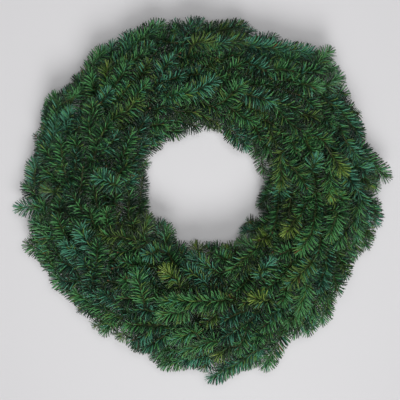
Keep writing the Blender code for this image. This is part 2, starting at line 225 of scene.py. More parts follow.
class Thicket:
    """Rods that later shoots stay clear of: end points, end radii and the owner of each."""

    def __init__(self):
        self.rows = np.empty((0, 9))

    def add(self, owner, start, end, start_radius, end_radius):
        row = [*start, *end, start_radius, end_radius, owner]
        self.rows = np.vstack([self.rows, row])

    def gap(self, owner, start, end, start_radius, end_radius):
        """The least gap between a rod and those of other owners."""
        others = self.rows[self.rows[:, 8] != owner]
        if not len(others):
            return 1.0
        p, q = np.array(start), others[:, 0:3]
        u, v = np.array(end) - p, others[:, 3:6] - q
        w = p - q
        uu, uv, vv = u @ u, v @ u, np.einsum("ij,ij->i", v, v)
        uw, vw = w @ u, np.einsum("ij,ij->i", v, w)
        s = np.clip((uv * vw - vv * uw) / np.maximum(uu * vv - uv * uv, 1e-15), 0, 1)
        t = np.clip((uv * s + vw) / np.maximum(vv, 1e-15), 0, 1)
        s = np.clip((uv * t - uw) / max(uu, 1e-15), 0, 1)
        apart = np.linalg.norm(w + s[:, None] * u - t[:, None] * v, axis=1)
        mine = start_radius + (end_radius - start_radius) * s
        theirs = others[:, 6] + (others[:, 7] - others[:, 6]) * t
        return float((apart - mine - theirs).min())


def path_gap(thicket, owner, points, radius):
    return min(thicket.gap(owner, a, b, radius, radius) for a, b in zip(points, points[1:]))


def add_path(thicket, owner, points, radius):
    for a, b in zip(points, points[1:]):
        thicket.add(owner, a, b, radius, radius)


def main_path(bunch, station, rng):
    """A spray's main shoot: straight through the clamp, then fanning out to its own place."""
    stem = station.stem
    reach = station.reach * rng.uniform(1 - REACH_SPREAD, 1 + REACH_SPREAD)
    outward = station.tip[0] + rng.uniform(-OUTWARD_SPREAD, OUTWARD_SPREAD)
    outward += STAND_OUTS.get((bunch, station.name), 0)
    if outward < INSIDE:
        outward -= INNER_FULLNESS * (1 - cos(clock_of(bunch, reach))) / 2
    height = station.tip[1] * rng.uniform(*HEIGHT_RANGE)
    bend = rng.uniform(*BEND_RANGE)
    points = [on_ring(bunch, -STEM_BACK, *stem), on_ring(bunch, STEM_STRAIGHT, *stem)]
    steps = round((reach - STEM_STRAIGHT) / PATH_STEP)
    for i in range(1, steps + 1):
        share = i / steps
        along = STEM_STRAIGHT + (reach - STEM_STRAIGHT) * share
        spread = stem[0] + (outward - stem[0]) * share**bend
        points.append(on_ring(bunch, along, spread, stem[1] + (height - stem[1]) * share))
    return points


def plan_main(thicket, owner, bunch, station, rng):
    """Draws a few main shoots and keeps the one that stands furthest from the other sprays."""
    draws = [main_path(bunch, station, rng) for _ in range(MAIN_DRAWS)]
    best = max(draws, key=lambda points: path_gap(thicket, owner, points[3:], 0))
    add_path(thicket, owner, best, 0)
    return best


def point_at(points, distance):
    """The place and direction at a distance along a path."""
    for a, b in zip(points, points[1:]):
        span = (b - a).length
        if distance <= span or b is points[-1]:
            return a + (b - a) * min(distance / span, 1.0), (b - a).normalized()
        distance -= span
    return points[-1], (points[-1] - points[-2]).normalized()


def length_of(points):
    return sum((b - a).length for a, b in zip(points, points[1:]))


def side_path(root, along, side, angle, tilt, length):
    """A side shoot that leaves its main shoot sideways, then bends forward with it."""
    normal = surface_normal(root) + Vector((0, 0, SIDE_FLATNESS))
    normal = (normal - along * normal.dot(along)).normalized()
    across = along.cross(normal) * side
    points = [root]
    for i in range(SIDE_STEPS):
        turn = radians(angle * (1 - SIDE_FORWARD * i))
        lift = radians(tilt)
        heading = along * cos(turn) + across * sin(turn) * cos(lift)
        heading += normal * sin(turn) * sin(lift)
        points.append(points[-1] + heading.normalized() * length / SIDE_STEPS)
    return points


def core_stations(points, needled):
    """The distances of the solid core's rings, which the side shoots' roots are measured on."""
    total = length_of(points)
    bare = total - needled
    rings, gone = [0.0], 0.0
    for a, b in zip(points, points[1:]):
        gone += (b - a).length
        if gone < bare:
            rings.append(gone)
    whorls = max(1, round((needled - BUD_LENGTH) / WHORL_PITCH))
    pitch = (needled - BUD_LENGTH) / whorls
    for i in range(whorls):
        start = bare + pitch * (i + 1) - WHORL_HEIGHT
        rings += [start, start + WHORL_HEIGHT]
    return rings


def plan_sides(thicket, owner, path, station, rng):
    """Side shoots that stay clear of every other spray, bent or shortened where they have to be."""
    needled = station.needled
    main = [point_at(path, distance)[0] for distance in core_stations(path, needled)] + [path[-1]]
    total = length_of(main)
    sides = []
    for share, side, length in station.sides:
        share += rng.uniform(-SHARE_SPREAD, SHARE_SPREAD)
        length *= rng.uniform(1 - SIDE_SPREAD, 1 + SIDE_SPREAD)
        root, along = point_at(main, total - needled * (1 - share))
        tries = (
            side_path(root, along, side, angle, tilt, length * cut)
            for cut in SIDE_LENGTHS
            for tilt in SIDE_TILTS
            for angle in SIDE_ANGLES
        )
        for points in tries:
            high_enough = min(p.z for p in points) > SIDE_FLOOR
            if high_enough and path_gap(thicket, owner, points, 0) > SHOOT_GAP:
                add_path(thicket, owner, points, 0)
                sides.append(points)
                break
    return sides


def clamp_outline():
    """The bent clamp wire, from one folded prong's end to the other's: (outward, height) pairs."""
    r = CLAMP_CORNER
    wide, high = CLAMP_HALF_WIDTH - r, CLAMP_HEIGHT - r
    outline = [(CLAMP_OVERLAP, CLAMP_HEIGHT)]
    for x, z, start in ((-wide, high, 90), (-wide, r, 180), (wide, r, 270), (wide, high, 0)):
        for angle in (radians(start), radians(start + 90)):
            outline.append((x + r * cos(angle), z + r * sin(angle)))
    return outline + [(-CLAMP_OVERLAP, CLAMP_HEIGHT)]


def frame_rods(thicket):
    """The frame as rods, so that the shoots stay clear of it."""
    step = math.tau * RING_RADIUS / BUNCHES / RODS_A_BUNCH
    for bunch in range(BUNCHES):
        bent = [on_ring(bunch, 0, x, CLAMP_FLOOR + z) for x, z in clamp_outline()]
        add_path(thicket, FRAME, bent, CLAMP_WIRE + CLAMP_PITCH / 2)
        for side in (-1, 1):
            arc = [on_ring(bunch, step * i, side * RAIL_OFFSET, RAIL_DROP) for i in range(RODS_A_BUNCH + 1)]
            add_path(thicket, FRAME, arc, RAIL_WIRE)


def spray_random(bunch, index, use):
    return random.Random(SEED * 100003 + bunch * 1009 + index * 31 + use)


places = [(bunch, index) for bunch in range(BUNCHES) for index in range(len(STATIONS))]
thicket = Thicket()
frame_rods(thicket)
mains = [plan_main(thicket, n, b, STATIONS[i], spray_random(b, i, 1)) for n, (b, i) in enumerate(places)]
sides = [
    plan_sides(thicket, n, mains[n], STATIONS[i], spray_random(b, i, 2)) for n, (b, i) in enumerate(places)
]


# ---- The small forks ---------------------------------
# Last year's growth: short shoots that fork off the larger ones and close the gaps between them. They
# grow out of the same twigs, so each stays with its spray. The ones that stand out have a place of their
# own; the rest find room between them.
GREEN, BLUE, OLIVE, YELLOW, BROWN = range(5)

BODY_MIDDLE = 0.030  # height of the middle of the wreath's rounded section
BODY_HEIGHT = 0.060  # from there to its surface
NEEDLE_REACH = 0.016  # how far needles stand out sideways of their shoot
RIM_INSET = 0.004
TIP_CUT = 0.018  # the most that shears take off a shoot that stands out of the outline
CUT_STEP = 0.002
CUT_INSET = 0.007  # how far inside the outline it is cut
HOLE_CENTRE = Vector((0.0039, 0.0201, 0))
HOLE_RADIUS = 0.085
# How far the foliage reaches from the ring's centre, as (degrees clockwise from the top, metres).
OUTLINE = (
    (0, 0.264), (20, 0.255), (40, 0.284), (50, 0.276), (62, 0.260), (80, 0.268),
    (100, 0.272), (112, 0.250), (130, 0.256), (150, 0.260), (160, 0.280), (170, 0.281),
    (184, 0.266), (210, 0.257), (230, 0.254), (250, 0.267), (270, 0.260), (282, 0.262),
    (290, 0.257), (302, 0.270), (312, 0.260), (330, 0.268), (360, 0.264),
)
# The shoots with a place of their own: degrees clockwise and millimetres from the ring's centre to the
# first needles, the same to the tip, height in the body (1 is its surface), colour and shade. The shades are
# partly painted light: raised on the rim's left and right sides and lowered at the top of the hole and crown.
OWN_PLACES = (
    # the outer rim
    (357, 231, 359, 254, 1.0, BLUE, 1.6), (360, 242, 14, 256, 0.3, OLIVE, 1.2),
    (357, 216, 16, 234, 1.1, OLIVE, 2.4), (18, 230, 39, 264, 1.05, BLUE, 2.4),
    (42, 250, 42, 284, 1.0, GREEN, 2.8), (49, 238, 50, 268, 0.8, GREEN, 2.4),
    (55, 230, 56, 250, 0.3, BLUE, 1.2), (57, 247, 71, 249, 0.3, GREEN, 1.2),
    (74, 240, 85, 277, 0.3, GREEN, 1.6), (72, 226, 83, 251, 1.05, BLUE, 2.6),
    (84, 238, 88, 253, 0.9, YELLOW, 1.2), (86, 228, 98, 246, 0.8, BLUE, 2.0),
    (91, 246, 100, 265, 0.4, BLUE, 1.6), (95, 232, 107, 240, 0.9, GREEN, 1.8),
    (101, 244, 105, 259, 0.4, OLIVE, 1.6), (103, 246, 108, 258, 0.2, GREEN, 1.2),
    (109, 229, 117, 240, 0.8, GREEN, 2.0), (117, 235, 125, 241, 0.8, GREEN, 1.8),
    (128, 242, 137, 264, 0.6, GREEN, 2.4), (136, 244, 143, 262, 0.6, GREEN, 2.3),
    (150, 243, 160, 277, 0.8, GREEN, 2.2), (159, 252, 177, 280, 0.6, BLUE, 2.4),
    (170, 232, 175, 243, 1.0, YELLOW, 1.0), (175, 219, 187, 238, 1.1, GREEN, 2.6),
    (178, 247, 193, 264, 0.5, GREEN, 1.9), (195, 230, 203, 252, 0.3, GREEN, 0.8),
    (206, 231, 210, 247, 1.0, OLIVE, 1.9), (215, 229, 215, 255, 0.6, GREEN, 1.9),
    (215, 241, 225, 239, 0.5, GREEN, 1.6), (226, 240, 240, 254, 0.5, GREEN, 1.9),
    (242, 250, 250, 254, 0.8, GREEN, 2.0), (249, 253, 253, 274, 0.3, GREEN, 1.2),
    (253, 238, 261, 249, 1.0, GREEN, 2.4), (265, 241, 265, 276, 0.6, BLUE, 2.6),
    (268, 248, 272, 264, 0.2, GREEN, 1.0), (271, 254, 280, 256, 0.6, BLUE, 2.2),
    (284, 245, 303, 262, 1.0, GREEN, 2.4), (282, 235, 296, 239, 1.15, BLUE, 3.0),
    (307, 237, 308, 246, 0.8, GREEN, 2.4), (309, 233, 312, 252, 0.3, GREEN, 1.0),
    (315, 246, 325, 259, 1.0, GREEN, 2.6), (331, 243, 330, 252, 0.3, GREEN, 0.6),
    (332, 246, 346, 257, 1.0, GREEN, 2.2), (352, 233, 351, 255, 0.4, BLUE, 1.0),
    (184, 240, 197, 246, 0.7, GREEN, 1.6), (298, 238, 311, 240, 0.7, GREEN, 2.0),
    (299, 248, 308, 249, 0.4, BLUE, 1.8), (254, 240, 267, 240, 0.6, GREEN, 2.0),
    (341, 243, 352, 244, 0.6, GREEN, 1.6), (186, 246, 196, 257, 0.4, GREEN, 1.2),
    (42, 254, 47, 270, 0.5, GREEN, 2.0), (104, 238, 113, 244, 0.5, GREEN, 1.8),
    (163, 256, 170, 266, 0.4, GREEN, 1.4), (141, 240, 150, 242, 0.4, GREEN, 1.2),
    # round the hole
    (54, 108, 72, 98, 0.5, GREEN, 1.4), (22, 102, 34, 92, 0.6, BLUE, 1.0),
    (306, 112, 322, 104, 0.5, GREEN, 1.2), (250, 118, 272, 109, 0.4, GREEN, 0.6),
    (262, 132, 274, 124, 0.5, GREEN, 1.0), (222, 106, 232, 80, 0.6, BLUE, 1.2),
    (207, 104, 199, 90, 0.5, GREEN, 1.4), (46, 126, 62, 116, 0.5, GREEN, 1.0),
    (42, 142, 56, 132, 0.6, OLIVE, 1.2), (92, 118, 103, 108, 0.4, GREEN, 1.0),
    (331, 122, 350, 112, 0.5, GREEN, 1.0), (322, 118, 340, 98, 0.5, GREEN, 1.2),
    (8, 124, 26, 118, 0.6, GREEN, 1.2), (20, 128, 36, 118, 0.4, BLUE, 0.8),
    (96, 121, 88, 108, 0.3, GREEN, 1.0), (118, 116, 126, 108, 0.3, GREEN, 1.0),
    (3, 112, 13, 107, 0.5, YELLOW, 0.8), (18, 112, 44, 95, 1.0, BLUE, 1.5),
    (64, 129, 86, 117, 1.05, OLIVE, 2.2), (109, 111, 104, 99, 0.5, GREEN, 0.8),
    (136, 118, 142, 97, 0.9, GREEN, 2.2), (159, 107, 158, 94, 0.7, GREEN, 2.0),
    (181, 99, 187, 83, 0.8, YELLOW, 1.6), (212, 104, 224, 77, 0.9, GREEN, 2.5),
    (230, 112, 245, 91, 1.0, OLIVE, 1.7), (254, 100, 284, 93, 0.2, GREEN, 0.4),
    (340, 116, 355, 99, 0.7, GREEN, 0.6),
    # the crown
    (304, 172, 316, 172, 0.6, GREEN, 1.4), (103, 163, 114, 158, 0.6, OLIVE, 1.4),
    (330, 142, 342, 136, 0.6, BLUE, 1.0), (44, 206, 54, 206, 0.6, GREEN, 1.6),
    (149, 229, 160, 231, 0.6, GREEN, 1.4), (118, 146, 129, 139, 0.6, GREEN, 1.6),
    (353, 145, 6, 160, 1.1, BLUE, 2.2), (13, 135, 20, 163, 1.1, GREEN, 2.0),
    (24, 156, 38, 164, 1.05, BLUE, 1.8), (43, 214, 48, 228, 1.1, GREEN, 2.6),
    (75, 196, 82, 206, 1.1, YELLOW, 2.2), (79, 162, 74, 173, 1.05, BLUE, 2.6),
    (99, 197, 109, 196, 1.1, GREEN, 2.4), (107, 141, 116, 136, 1.1, YELLOW, 2.0),
    (110, 169, 121, 165, 1.1, GREEN, 2.8), (123, 189, 136, 184, 1.1, OLIVE, 2.6),
    (132, 206, 141, 227, 1.05, GREEN, 2.8), (145, 147, 136, 142, 1.05, BLUE, 2.4),
    (149, 185, 154, 171, 1.1, YELLOW, 2.0), (169, 161, 199, 168, 1.05, GREEN, 2.2),
    (173, 114, 189, 99, 1.05, BLUE, 2.2), (183, 206, 191, 219, 1.05, GREEN, 2.6),
    (188, 173, 198, 188, 1.1, GREEN, 2.2), (194, 138, 205, 126, 1.1, YELLOW, 2.6),
    (208, 180, 219, 152, 1.05, GREEN, 2.2), (216, 108, 221, 123, 1.0, BLUE, 2.6),
    (270, 216, 271, 234, 1.05, OLIVE, 2.2), (274, 126, 278, 153, 1.1, BLUE, 2.4),
    (340, 147, 353, 145, 1.05, GREEN, 1.8),
)
ROOT_DROP = 0.005  # a shoot's first needles lie this much lower than its tip
ROOT_STEP = 0.006  # the roots that such a shoot may have are this far apart
ROOT_TURN = 0.02  # a root left squarely, or backwards, counts as this much further off
FOOT = 0.008  # such a shoot's needles begin this far before their place

FORK_LENGTHS = (0.048, 0.082)
FORK_ANGLES = (18, 60)
FORK_TILTS = (-50, 60)
FORK_DRAWS = 150
FORK_ROUNDS = 13
FORK_GAPS = (0.010, 0.0155)  # between neighbouring shoots, deep inside and at the surface
FORK_DEPTHS = (0.50, 0.90)  # how far out those two are: a fork's tip is at least as far out as the first
FORK_FROM_TIP = 0.016  # forks leave their shoot at least this far before its tip
FORK_BARE = 0.002  # the bare foot of a fork or a side shoot
MAIN_EXTRA = 0.02  # a main shoot has needles this much further back than on its solid
SWEPT_DEPTH = 0.8  # forks this far out follow the clockwise sweep
RIM_SWEEP = cos(radians(42))  # and turn less than this from it


def reach_and_outline(point):
    """How far a point and the outline beyond it are from the ring's centre."""
    flat = Vector((point.x, point.y, 0)) - RING_CENTRE
    clock = math.degrees(math.atan2(flat.x, flat.y)) % 360
    return flat.length, np.interp(clock, *zip(*OUTLINE))


def across_body(point):
    """Where a point is across the wreath's section: -1 at the hole, 0 in the middle and 1 at the rim."""
    reach, outline = reach_and_outline(point)
    outer = outline - NEEDLE_REACH - RIM_INSET
    to_hole = Vector((point.x, point.y, 0)) - HOLE_CENTRE
    inner = reach - (to_hole.length - HOLE_RADIUS - NEEDLE_REACH)
    return (reach - (outer + inner) / 2) / ((outer - inner) / 2)


def depth_in_body(point):
    """0 in the middle of the wreath's section, and 1 where a shoot's needles just reach its surface."""
    return math.hypot(across_body(point), (point.z - BODY_MIDDLE) / BODY_HEIGHT)


def past_edge(point):
    """How far a point stands out of the wreath's outline or into its hole."""
    reach, outline = reach_and_outline(point)
    into_hole = HOLE_RADIUS - math.hypot(point.x - HOLE_CENTRE.x, point.y - HOLE_CENTRE.y)
    return max(reach - outline, into_hole)


def cut_back(points):
    """A shoot with its tip cut off where that stands out of the wreath."""
    total = length_of(points)
    cut = 0
    while cut < TIP_CUT and past_edge(point_at(points, total - cut)[0]) > -CUT_INSET:
        cut += CUT_STEP
    return [*points[:-1], point_at(points, total - cut)[0]]


def own_place(clock, reach, lift):
    """The point with this clock angle and reach, and this share of the body's height there."""
    angle = radians(clock)
    point = RING_CENTRE + Vector((sin(angle), cos(angle), 0)) * reach / 1000
    point.z = BODY_MIDDLE + lift * BODY_HEIGHT * math.sqrt(max(1 - across_body(point) ** 2, 0.04))
    return point


def nearest_root(start, heading):
    """The spray and the point on its shoots from which a new shoot has the shortest way to its start."""
    least, best = 1.0, None
    for n, shoots in enumerate(branches):
        for points, bare in shoots:
            for step in range(int((length_of(points) - bare) / ROOT_STEP)):
                root, along = point_at(points, bare + ROOT_STEP * step)
                way = start - root
                cost = way.length + ROOT_TURN * (1 - along.dot(heading)) + ROOT_TURN * (way.dot(heading) < 0)
                if cost < least:
                    least, best = cost, (n, root)
    return best


def sweep_of(points):
    """1 where a shoot runs clockwise along the ring, and 0 where it runs straight outwards."""
    heading = points[-1] - points[0]
    flat = points[-1] - RING_CENTRE
    return heading.xy.normalized().dot(Vector((flat.y, -flat.x)).normalized())


def draw_fork(shoots, rng):
    """One possible fork off a random shoot of a spray: (the parent's number, the fork's points)."""
    parent = rng.randrange(len(shoots))
    points, bare = shoots[parent]
    root, along = point_at(points, rng.uniform(bare, length_of(points) - FORK_FROM_TIP))
    angle = rng.uniform(*FORK_ANGLES)
    tilt = rng.uniform(*FORK_TILTS)
    return parent, side_path(root, along, rng.choice((-1, 1)), angle, tilt, rng.uniform(*FORK_LENGTHS))


def add_branch(n, points, bare):
    """Adds a shoot to a spray. Its number in the undergrowth is its own, past its spray's hundred."""
    add_path(undergrowth, n * 100 + len(branches[n]), points, 0)
    branches[n].append((points, bare))


branches = [[] for _ in places]  # the shoots of each spray, as (points, bare length)
undergrowth = Thicket()
frame_rods(undergrowth)
for n, (_, index) in enumerate(places):
    add_branch(n, mains[n], length_of(mains[n]) - STATIONS[index].needled - MAIN_EXTRA)
    for points in sides[n]:
        add_branch(n, points, FORK_BARE)
own_looks = {}
for clock, reach, tip_clock, tip_reach, lift, family, shade in OWN_PLACES:
    start = own_place(clock, reach, lift) - Vector((0, 0, ROOT_DROP))
    tip = own_place(tip_clock, tip_reach, lift)
    n, root = nearest_root(start, (tip - start).normalized())
    middle = (start + tip) / 2 + Vector((0, 0, ROOT_DROP / 2))
    own_looks[n, len(branches[n])] = (family, shade)
    add_branch(n, [root, start, middle, tip], max((start - root).length - FOOT, FORK_BARE))
for forks in range(FORK_ROUNDS):
    for n, (bunch, index) in enumerate(places):
        rng = spray_random(bunch, index, 10 + forks)
        clearest, chosen = 0, None
        for _ in range(FORK_DRAWS):
            parent, points = draw_fork(branches[n], rng)
            depth = max(depth_in_body(p) for p in points[2:])
            if min(p.z for p in points) < SIDE_FLOOR or not FORK_DEPTHS[0] < depth < 1:
                continue
            if depth > SWEPT_DEPTH and sweep_of(points) < RIM_SWEEP:
                continue
            gap = path_gap(undergrowth, n * 100 + parent, [points[1], points[-1]], 0)
            room = gap - np.interp(depth, FORK_DEPTHS, FORK_GAPS)
            if room > clearest:
                clearest, chosen = room, points
        if chosen:
            add_branch(n, chosen, FORK_BARE)

# What a shoot is like. Its zone is "inside" the wreath, with fewer and plainer needles, at its "surface", or
# its "own" place, where the shears spare it. Fresh shoots turn yellow-green towards the tip.
Shoot = namedtuple("Shoot", "points bare girth family families shade fresh zone parting fullness")
OUTER_SHARES = {GREEN: 54, BLUE: 40, OLIVE: 5, YELLOW: 1}  # the rim is bluer, and the crown more olive
CROWN_SHARES = {GREEN: 53, BLUE: 21, OLIVE: 25, YELLOW: 1}
FAMILY_KEPT = 0.45  # share of shoots with their spray's own family
SHADE_RANGE = (0.8, 2.1)  # from 0, the darkest shade of a family
FRESH_SHARE = 0.04
NEEDLES_A_METRE = {"own": 2400, "surface": 2000, "inside": 1200}
SURFACE_DEPTH = 0.78
MAIN_GIRTH, SIDE_GIRTH, FORK_GIRTH = 0.0021, 0.0014, 0.0011  # twig radii
PARTING_RANGE = (0.58, 0.76)  # how far round a shoot its needles stand: 1 would be all round
FULLNESS_RANGE = (0.94, 1.05)  # length of a shoot's needles, as a share of NEEDLE
LOW_FULLNESS = 0.76  # of that, for the low inner sprays
sprays = []
for n, (bunch, index) in enumerate(places):
    rng = spray_random(bunch, index, 4)
    families = OUTER_SHARES if STATIONS[index].name.startswith("outer") else CROWN_SHARES
    spray_family = rng.choices(list(families), families.values())[0]
    shoots = []
    for k, (points, bare) in enumerate(branches[n]):
        if k <= len(sides[n]):
            points = cut_back(points)
        family = spray_family
        if rng.random() > FAMILY_KEPT:
            family = rng.choices(list(families), families.values())[0]
        shade = rng.uniform(*SHADE_RANGE)
        fresh = rng.random() < FRESH_SHARE
        zone = "surface" if max(depth_in_body(p) for p in points[1:]) > SURFACE_DEPTH else "inside"
        if (n, k) in own_looks:
            family, shade = own_looks[n, k]
            fresh = family == YELLOW
            if fresh:
                family = OLIVE
            zone = "own"
        girth = MAIN_GIRTH if k == 0 else SIDE_GIRTH if k <= len(sides[n]) else FORK_GIRTH
        parting = rng.uniform(*PARTING_RANGE)
        fullness = rng.uniform(*FULLNESS_RANGE)
        fullness *= LOW_FULLNESS if STATIONS[index].name == "inner_low" else 1
        shoots.append(Shoot(points, bare, girth, family, families, shade, fresh, zone, parting, fullness))
    sprays.append(shoots)


# ---- Fir needles -------------------------------------
# Flat blunt leaves of noble fir, 15 to 20 mm long and 1.6 mm wide, with a waxy skin. They stand on the twig
# in a spiral, and those of the underside twist up, so a shoot is full above and parted below.
NEEDLE = 0.0190
NEEDLE_WIDTH = 0.0016
NEEDLE_KEEL = 0.0007  # thickness
NEEDLE_FOOT = 0.55  # width at the root, as a share of NEEDLE_WIDTH
NEEDLE_SIZES = (0.93, 1.04)  # shortest and longest in a shoot
NEEDLE_LEAN = (54, 78)  # degrees between a needle and its shoot, above and at the sides
LEAN_WANDER = 3.5  # how far that strays, in degrees
TWIST_WANDER = 0.25  # how far a needle's face strays, in radians
NEEDLE_FACE = (0.8, 0.35)  # a needle's face turns up and towards the shoot's tip in these shares
PARTED_TOP = -0.22  # below 0, the needles leave the very top of their shoot for its sides
TOP_SHORTENING = 0.12  # needles on top are this much shorter
TIP_LEAN = 10
TIP_ZONE, ROOT_ZONE = 0.011, 0.012
TIP_SIZE, ROOT_SIZE = 0.72, 0.75  # a shoot's last and first needles are this small
TIP_CROWDING = 1.2
TRIM = 0.5  # the most that shears take off a needle that stands out of the outline
FLOOR_GAP = 0.0022  # needles are pushed up to stay this far off the floor
NEEDLE_SINK = 0.4  # a needle's root is this share of the twig's radius from its middle
SPIRAL = radians(137.5)
NEEDLE_BENDS = (-16, 10, 26)  # degrees from root to point, towards the needle's upper face
BACKWARD_TOP = 0.75  # needles nearer the top than this bend by the first, and the others by the rest
SHADES = 4  # shades in a family, from dark to pale
TIP_PALER = 0.4  # shades from a shoot's root to its tip
# Painted light and shade: a needle that faces up is painted paler, and one at the sides or below darker.
TOP_PAINTED_LIGHT = 1.2  # shades from its sides to its top
SIDE_PAINTED_SHADE = 0.6
SHADE_WANDER = 1.15
FRESH_FROM, FRESH_GAIN = 0.3, 1.6  # where a fresh shoot begins to turn yellow, and how fast
OLD_SHARE = 0.24  # share of the needles at a shoot's root that have turned olive with age
BROWN_SHARE = 0.0015
STRAY_SHARE = 0.35  # share of the needles with a colour family of their own
TONE_HEX = (
    ("#030d05", "#0a2710", "#205225", "#529453"),
    ("#030e0c", "#0a2920", "#1e513f", "#509679"),
    ("#0a0e03", "#1a260a", "#324a1b", "#638037"),
    ("#1c2f0a", "#395314", "#587624", "#86a041"),
    ("#221407", "#3c2410", "#5e3c1a", "#895c2f"),
)
TONES = len(TONE_HEX) * SHADES
# A needle's map: its column is one tone wide, with the upper face in its left half and the keel's sides in
# its right one, and runs from the root to the point.
UPPER_PLACE, LOWER_PLACE = 0.26, 0.74
MAP_HALF_WIDTH = 0.2
ROOT_PLACE, POINT_PLACE = 0.03, 0.97
KEEL_SHIFT = 0.01  # keeps the root's face from being a line on the map
# The rings between a needle's root and its point: width against the ring before, and share of the length.
FULL_RINGS = ((1.82, 0.32), (0.86, 0.58))
PLAIN_RINGS = ((1.82, 0.52),)


def extrude_end(bm, face, keep):
    """Extrudes an end face and returns the new one. The old one stays only where it closes the root."""
    made = bmesh.ops.extrude_face_region(bm, geom=[face])["geom"]
    if not keep:
        bmesh.ops.delete(bm, geom=[face], context="FACES_ONLY")
    return [part for part in made if isinstance(part, bmesh.types.BMFace)][0]


def needle_die(tone, bend, rings):
    """One needle at the origin that grows along +Z and bends towards +X, with its own column in the map.
    Its section is a flat triangle: the upper face is at +X, and the keel below it."""
    bm = bmesh.new()
    chart = bm.loops.layers.uv.new("OFBake")
    keel_below = Matrix.Rotation(radians(90), 4, "Z")
    bmesh.ops.create_circle(bm, cap_ends=True, radius=1, segments=3, matrix=keel_below)
    # A triangle with its corners 1 from its middle is 1.5 high and the root of 3 wide.
    foot = (NEEDLE_FOOT * NEEDLE_KEEL / 1.5, NEEDLE_FOOT * NEEDLE_WIDTH / math.sqrt(3), 1)
    bmesh.ops.scale(bm, vec=foot, verts=bm.verts)
    face = bm.faces[:][0]
    end = Vector((0, 0, 0))
    turn = 0.0
    for i, (size, span) in enumerate(rings):
        face = extrude_end(bm, face, keep=i == 0)
        middle = face.calc_center_median()
        step = radians(bend) * span
        turn += step
        ahead = Vector((sin(turn), 0, cos(turn))) * NEEDLE
        end = end + ahead * span
        bmesh.ops.scale(bm, vec=(size, size, 1), verts=face.verts[:], space=Matrix.Translation(-middle))
        bmesh.ops.rotate(bm, cent=middle, matrix=Matrix.Rotation(step, 3, "Y"), verts=face.verts[:])
        bmesh.ops.translate(bm, vec=end - middle, verts=face.verts[:])
    point = bmesh.ops.poke(bm, faces=[face])["verts"][0]
    point.co = end + ahead * (1 - sum(span for _, span in rings))
    bmesh.ops.triangulate(bm, faces=bm.faces)
    bmesh.ops.recalc_face_normals(bm, faces=bm.faces)
    for face in bm.faces:
        face.smooth = True
        half = UPPER_PLACE if face.normal.x > 0 else LOWER_PLACE
        for loop in face.loops:
            co = loop.vert.co
            across = half + MAP_HALF_WIDTH * co.y / (0.5 * NEEDLE_WIDTH)
            along = ROOT_PLACE + (POINT_PLACE - ROOT_PLACE) * min(co.z / NEEDLE, 1)
            along += KEEL_SHIFT * co.x / NEEDLE_KEEL
            loop[chart].uv = ((tone + across) / TONES, along)
    die = bpy.data.meshes.new("needle_die")
    bm.to_mesh(die)
    bm.free()
    return die


dies = {
    (tone, bend, plain): needle_die(tone, bend, PLAIN_RINGS if plain else FULL_RINGS)
    for tone in range(TONES)
    for bend in NEEDLE_BENDS
    for plain in (True, False)
}
die_places = {key: Matrix.Identity(4) for key in dies}


def press_needle(bm, key, there):
    """Adds a needle at a place: its die is moved there from where it was last used."""
    dies[key].transform(there @ die_places[key].inverted())
    die_places[key] = there
    bm.from_mesh(dies[key])


def smooth_point(points, distance):
    """A point of the path as a Catmull-Rom curve through its points, so that the twig has no kinks."""
    for i in range(len(points) - 1):
        span = (points[i + 1] - points[i]).length
        if distance <= span or i == len(points) - 2:
            break
        distance -= span
    t = min(max(distance / span, 0), 1)
    p1, p2 = points[i], points[i + 1]
    p0 = points[i - 1] if i else p1 * 2 - p2
    p3 = points[i + 2] if i + 2 < len(points) else p2 * 2 - p1
    squared = 2 * p0 - 5 * p1 + 4 * p2 - p3
    cubed = 3 * p1 - p0 - 3 * p2 + p3
    return 0.5 * (2 * p1 + (p2 - p0) * t + squared * t**2 + cubed * t**3)


def shoot_axes(points, distance):
    """The middle line's place and direction, and the shoot's upper side."""
    here = smooth_point(points, distance)
    along = (smooth_point(points, distance + 0.001) - smooth_point(points, distance - 0.001)).normalized()
    up = surface_normal(here) * 0.5 + Vector((0, 0, 1))
    up = (up - along * up.dot(along)).normalized()
    return here, along, up


def tone_of(shoot, share, top, rng):
    """A needle's colour column: its family, with painted light on top and painted shade at the sides and
    below.
    """
    family = shoot.family
    if rng.random() < STRAY_SHARE:
        family = rng.choices(list(shoot.families), shoot.families.values())[0]
    if shoot.fresh and rng.random() < (share - FRESH_FROM) * FRESH_GAIN:
        family = YELLOW
    if rng.random() < OLD_SHARE * (1 - share):
        family = OLIVE
    if rng.random() < BROWN_SHARE:
        family = BROWN
    # painted light on needles that face up, painted shade on those at the sides and below
    usual = shoot.shade + TIP_PALER * share + TOP_PAINTED_LIGHT * top - SIDE_PAINTED_SHADE
    shade = min(max(round(rng.gauss(usual, SHADE_WANDER)), 0), SHADES - 1)
    return family * SHADES + shade


def stand_at(point, x, y, z):
    """The matrix that takes a shape from the origin to a point and turns it to these three axes."""
    there = Matrix((x, y, z)).transposed().to_4x4()
    there.translation = point
    return there


